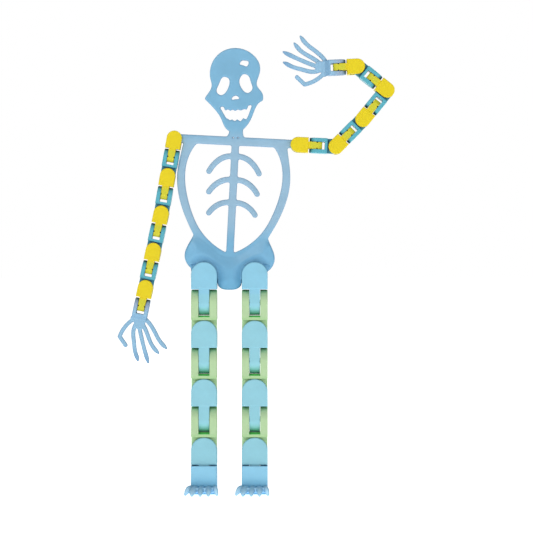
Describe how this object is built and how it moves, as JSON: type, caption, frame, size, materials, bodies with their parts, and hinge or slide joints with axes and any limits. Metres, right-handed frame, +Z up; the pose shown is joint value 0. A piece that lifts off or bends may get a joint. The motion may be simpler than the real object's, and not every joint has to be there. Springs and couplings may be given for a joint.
{
  "type": "hinged skeleton figure",
  "caption": "Flat skeleton figure: one moulded skull and chest, with arms and legs of square click links on alternating hinges, open hands and clawed feet.",
  "frame": {"origin": "centre of the bounding box in X and Y, on the plane the soles stand on", "axes": "+Z up through the standing figure, front of the skull toward -Y, +X toward the raised arm (the figure's own left)"},
  "size_m": [0.1854, 0.029, 0.307],
  "materials": {
    "torso_blue": "smooth injection moulding, slightly translucent",
    "hand_blue": "smooth injection moulding, slightly translucent",
    "foot_blue": "smooth injection moulding, slightly translucent",
    "arm_yellow": "smooth injection moulding, slightly translucent",
    "arm_teal": "smooth injection moulding, slightly translucent",
    "leg_green": "smooth injection moulding, slightly translucent",
    "leg_blue": "smooth injection moulding, slightly translucent"
  },
  "bodies": {
    "torso_with_skull": {"torso_with_skull": "torso_blue"},
    "right_arm_yellow_1": {"right_arm_yellow_1": "arm_yellow"},
    "right_arm_teal_1": {"right_arm_teal_1": "arm_teal"},
    "right_arm_yellow_2": {"right_arm_yellow_2": "arm_yellow"},
    "right_arm_teal_2": {"right_arm_teal_2": "arm_teal"},
    "right_arm_yellow_3": {"right_arm_yellow_3": "arm_yellow"},
    "right_arm_teal_3": {"right_arm_teal_3": "arm_teal"},
    "right_arm_yellow_4": {"right_arm_yellow_4": "arm_yellow"},
    "right_arm_teal_4": {"right_arm_teal_4": "arm_teal"},
    "right_arm_yellow_5": {"right_arm_yellow_5": "arm_yellow"},
    "right_hand": {"right_hand": "hand_blue"},
    "left_arm_yellow_1": {"left_arm_yellow_1": "arm_yellow"},
    "left_arm_teal_1": {"left_arm_teal_1": "arm_teal"},
    "left_arm_yellow_2": {"left_arm_yellow_2": "arm_yellow"},
    "left_arm_teal_2": {"left_arm_teal_2": "arm_teal"},
    "left_arm_yellow_3": {"left_arm_yellow_3": "arm_yellow"},
    "left_arm_teal_3": {"left_arm_teal_3": "arm_teal"},
    "left_arm_yellow_4": {"left_arm_yellow_4": "arm_yellow"},
    "left_arm_teal_4": {"left_arm_teal_4": "arm_teal"},
    "left_arm_yellow_5": {"left_arm_yellow_5": "arm_yellow"},
    "left_hand": {"left_hand": "hand_blue"},
    "right_leg_blue_1": {"right_leg_blue_1": "leg_blue"},
    "right_leg_green_1": {"right_leg_green_1": "leg_green"},
    "right_leg_blue_2": {"right_leg_blue_2": "leg_blue"},
    "right_leg_green_2": {"right_leg_green_2": "leg_green"},
    "right_leg_blue_3": {"right_leg_blue_3": "leg_blue"},
    "right_leg_green_3": {"right_leg_green_3": "leg_green"},
    "right_leg_blue_4": {"right_leg_blue_4": "leg_blue"},
    "right_foot": {"right_foot": "foot_blue"},
    "left_leg_blue_1": {"left_leg_blue_1": "leg_blue"},
    "left_leg_green_1": {"left_leg_green_1": "leg_green"},
    "left_leg_blue_2": {"left_leg_blue_2": "leg_blue"},
    "left_leg_green_2": {"left_leg_green_2": "leg_green"},
    "left_leg_blue_3": {"left_leg_blue_3": "leg_blue"},
    "left_leg_green_3": {"left_leg_green_3": "leg_green"},
    "left_leg_blue_4": {"left_leg_blue_4": "leg_blue"},
    "left_foot": {"left_foot": "foot_blue"}
  },
  "joints": [
    {"name": "right_arm_yellow_1_hinge", "type": "hinge", "parent": "torso_with_skull", "child": "right_arm_yellow_1", "pos_m": [-0.05453, 0.00588, 0.23798], "axis": [0, -1, 0], "range_deg": [-169, 0]},
    {"name": "right_arm_teal_1_hinge", "type": "hinge", "parent": "right_arm_yellow_1", "child": "right_arm_teal_1", "pos_m": [-0.05678, 0.00588, 0.22548], "axis": [0.9842, 0, -0.1771], "range_deg": [-90, 90]},
    {"name": "right_arm_yellow_2_hinge", "type": "hinge", "parent": "right_arm_teal_1", "child": "right_arm_yellow_2", "pos_m": [-0.05903, 0.00588, 0.21298], "axis": [0, 1, 0], "range_deg": [-6, 90]},
    {"name": "right_arm_teal_2_hinge", "type": "hinge", "parent": "right_arm_yellow_2", "child": "right_arm_teal_2", "pos_m": [-0.06116, 0.00588, 0.20046], "axis": [-0.9857, 0, 0.1685], "range_deg": [-90, 90]},
    {"name": "right_arm_yellow_3_hinge", "type": "hinge", "parent": "right_arm_teal_2", "child": "right_arm_yellow_3", "pos_m": [-0.0633, 0.00588, 0.18795], "axis": [0, 1, 0], "range_deg": [-11, 90]},
    {"name": "right_arm_teal_3_hinge", "type": "hinge", "parent": "right_arm_yellow_3", "child": "right_arm_teal_3", "pos_m": [-0.06592, 0.00588, 0.17552], "axis": [0.9785, 0, -0.2062], "range_deg": [-90, 90]},
    {"name": "right_arm_yellow_4_hinge", "type": "hinge", "parent": "right_arm_teal_3", "child": "right_arm_yellow_4", "pos_m": [-0.06854, 0.00588, 0.16309], "axis": [0, -1, 0], "range_deg": [-90, 15]},
    {"name": "right_arm_teal_4_hinge", "type": "hinge", "parent": "right_arm_yellow_4", "child": "right_arm_teal_4", "pos_m": [-0.0712, 0.00588, 0.15067], "axis": [0.9778, 0, -0.2096], "range_deg": [-90, 90]},
    {"name": "right_arm_yellow_5_hinge", "type": "hinge", "parent": "right_arm_teal_4", "child": "right_arm_yellow_5", "pos_m": [-0.07387, 0.00588, 0.13825], "axis": [0, 1, 0], "range_deg": [-23, 90]},
    {"name": "right_hand_hinge", "type": "hinge", "parent": "right_arm_yellow_5", "child": "right_hand", "pos_m": [-0.07648, 0.00588, 0.12583], "axis": [-0.9785, 0, 0.2062], "range_deg": [-90, 90]},
    {"name": "left_arm_yellow_1_hinge", "type": "hinge", "parent": "torso_with_skull", "child": "left_arm_yellow_1", "pos_m": [0.02817, 0.00588, 0.23379], "axis": [0, 1, 0], "range_deg": [-15, 85]},
    {"name": "left_arm_teal_1_hinge", "type": "hinge", "parent": "left_arm_yellow_1", "child": "left_arm_teal_1", "pos_m": [0.04085, 0.00588, 0.23317], "axis": [-0.0489, 0, -0.9988], "range_deg": [-90, 90]},
    {"name": "left_arm_yellow_2_hinge", "type": "hinge", "parent": "left_arm_teal_1", "child": "left_arm_yellow_2", "pos_m": [0.05354, 0.00588, 0.23255], "axis": [0, -1, 0], "range_deg": [-136, 13]},
    {"name": "left_arm_teal_2_hinge", "type": "hinge", "parent": "left_arm_yellow_2", "child": "left_arm_teal_2", "pos_m": [0.06248, 0.00588, 0.24156], "axis": [0.7096, 0, -0.7046], "range_deg": [-90, 90]},
    {"name": "left_arm_yellow_3_hinge", "type": "hinge", "parent": "left_arm_teal_2", "child": "left_arm_yellow_3", "pos_m": [0.07143, 0.00588, 0.25057], "axis": [0, -1, 0], "range_deg": [-96, 23]},
    {"name": "left_arm_teal_3_hinge", "type": "hinge", "parent": "left_arm_yellow_3", "child": "left_arm_teal_3", "pos_m": [0.0795, 0.00588, 0.26039], "axis": [-0.7727, 0, 0.6347], "range_deg": [-90, 90]},
    {"name": "left_arm_yellow_4_hinge", "type": "hinge", "parent": "left_arm_teal_3", "child": "left_arm_yellow_4", "pos_m": [0.08756, 0.00588, 0.2702], "axis": [0, -1, 0], "range_deg": [-178, 1]},
    {"name": "left_arm_teal_4_hinge", "type": "hinge", "parent": "left_arm_yellow_4", "child": "left_arm_teal_4", "pos_m": [0.07766, 0.00588, 0.27816], "axis": [-0.6266, 0, -0.7793], "range_deg": [-90, 90]},
    {"name": "left_arm_yellow_5_hinge", "type": "hinge", "parent": "left_arm_teal_4", "child": "left_arm_yellow_5", "pos_m": [0.06776, 0.00588, 0.28612], "axis": [0, 1, 0], "range_deg": [-46, 133]},
    {"name": "left_hand_hinge", "type": "hinge", "parent": "left_arm_yellow_5", "child": "left_hand", "pos_m": [0.05507, 0.00588, 0.28554], "axis": [-0.0453, 0, 0.999], "range_deg": [-90, 90]},
    {"name": "right_leg_blue_1_hinge", "type": "hinge", "parent": "torso_with_skull", "child": "right_leg_blue_1", "pos_m": [-0.0346, 0.00588, 0.1467], "axis": [0, -1, 0], "range_deg": [-15, 3]},
    {"name": "right_leg_green_1_hinge", "type": "hinge", "parent": "right_leg_blue_1", "child": "right_leg_green_1", "pos_m": [-0.0346, 0.00588, 0.1282], "axis": [1, 0, 0], "range_deg": [-90, 90]},
    {"name": "right_leg_blue_2_hinge", "type": "hinge", "parent": "right_leg_green_1", "child": "right_leg_blue_2", "pos_m": [-0.0346, 0.00588, 0.1077], "axis": [0, 1, 0], "range_deg": [-5, 45]},
    {"name": "right_leg_green_2_hinge", "type": "hinge", "parent": "right_leg_blue_2", "child": "right_leg_green_2", "pos_m": [-0.0346, 0.00588, 0.0892], "axis": [-1, 0, 0], "range_deg": [-90, 90]},
    {"name": "right_leg_blue_3_hinge", "type": "hinge", "parent": "right_leg_green_2", "child": "right_leg_blue_3", "pos_m": [-0.0346, 0.00588, 0.0687], "axis": [0, 1, 0], "range_deg": [-9, 90]},
    {"name": "right_leg_green_3_hinge", "type": "hinge", "parent": "right_leg_blue_3", "child": "right_leg_green_3", "pos_m": [-0.0346, 0.00588, 0.0502], "axis": [1, 0, 0], "range_deg": [-90, 90]},
    {"name": "right_leg_blue_4_hinge", "type": "hinge", "parent": "right_leg_green_3", "child": "right_leg_blue_4", "pos_m": [-0.0346, 0.00588, 0.0297], "axis": [0, -1, 0], "range_deg": [-90, 35]},
    {"name": "right_foot_hinge", "type": "hinge", "parent": "right_leg_blue_4", "child": "right_foot", "pos_m": [-0.0346, 0.00588, 0.0112], "axis": [1, 0, 0], "range_deg": [-2, 90]},
    {"name": "left_leg_blue_1_hinge", "type": "hinge", "parent": "torso_with_skull", "child": "left_leg_blue_1", "pos_m": [-0.0008, 0.00588, 0.1467], "axis": [0, -1, 0], "range_deg": [-3, 66]},
    {"name": "left_leg_green_1_hinge", "type": "hinge", "parent": "left_leg_blue_1", "child": "left_leg_green_1", "pos_m": [-0.0008, 0.00588, 0.1282], "axis": [-1, 0, 0], "range_deg": [-90, 90]},
    {"name": "left_leg_blue_2_hinge", "type": "hinge", "parent": "left_leg_green_1", "child": "left_leg_blue_2", "pos_m": [-0.0008, 0.00588, 0.1077], "axis": [0, 1, 0], "range_deg": [-90, 4]},
    {"name": "left_leg_green_2_hinge", "type": "hinge", "parent": "left_leg_blue_2", "child": "left_leg_green_2", "pos_m": [-0.0008, 0.00588, 0.0892], "axis": [-1, 0, 0], "range_deg": [-90, 90]},
    {"name": "left_leg_blue_3_hinge", "type": "hinge", "parent": "left_leg_green_2", "child": "left_leg_blue_3", "pos_m": [-0.0008, 0.00588, 0.0687], "axis": [0, -1, 0], "range_deg": [-9, 90]},
    {"name": "left_leg_green_3_hinge", "type": "hinge", "parent": "left_leg_blue_3", "child": "left_leg_green_3", "pos_m": [-0.0008, 0.00588, 0.0502], "axis": [1, 0, 0], "range_deg": [-90, 90]},
    {"name": "left_leg_blue_4_hinge", "type": "hinge", "parent": "left_leg_green_3", "child": "left_leg_blue_4", "pos_m": [-0.0008, 0.00588, 0.0297], "axis": [0, 1, 0], "range_deg": [-90, 35]},
    {"name": "left_foot_hinge", "type": "hinge", "parent": "left_leg_blue_4", "child": "left_foot", "pos_m": [-0.0008, 0.00588, 0.0112], "axis": [1, 0, 0], "range_deg": [-2, 90]}
  ]
}
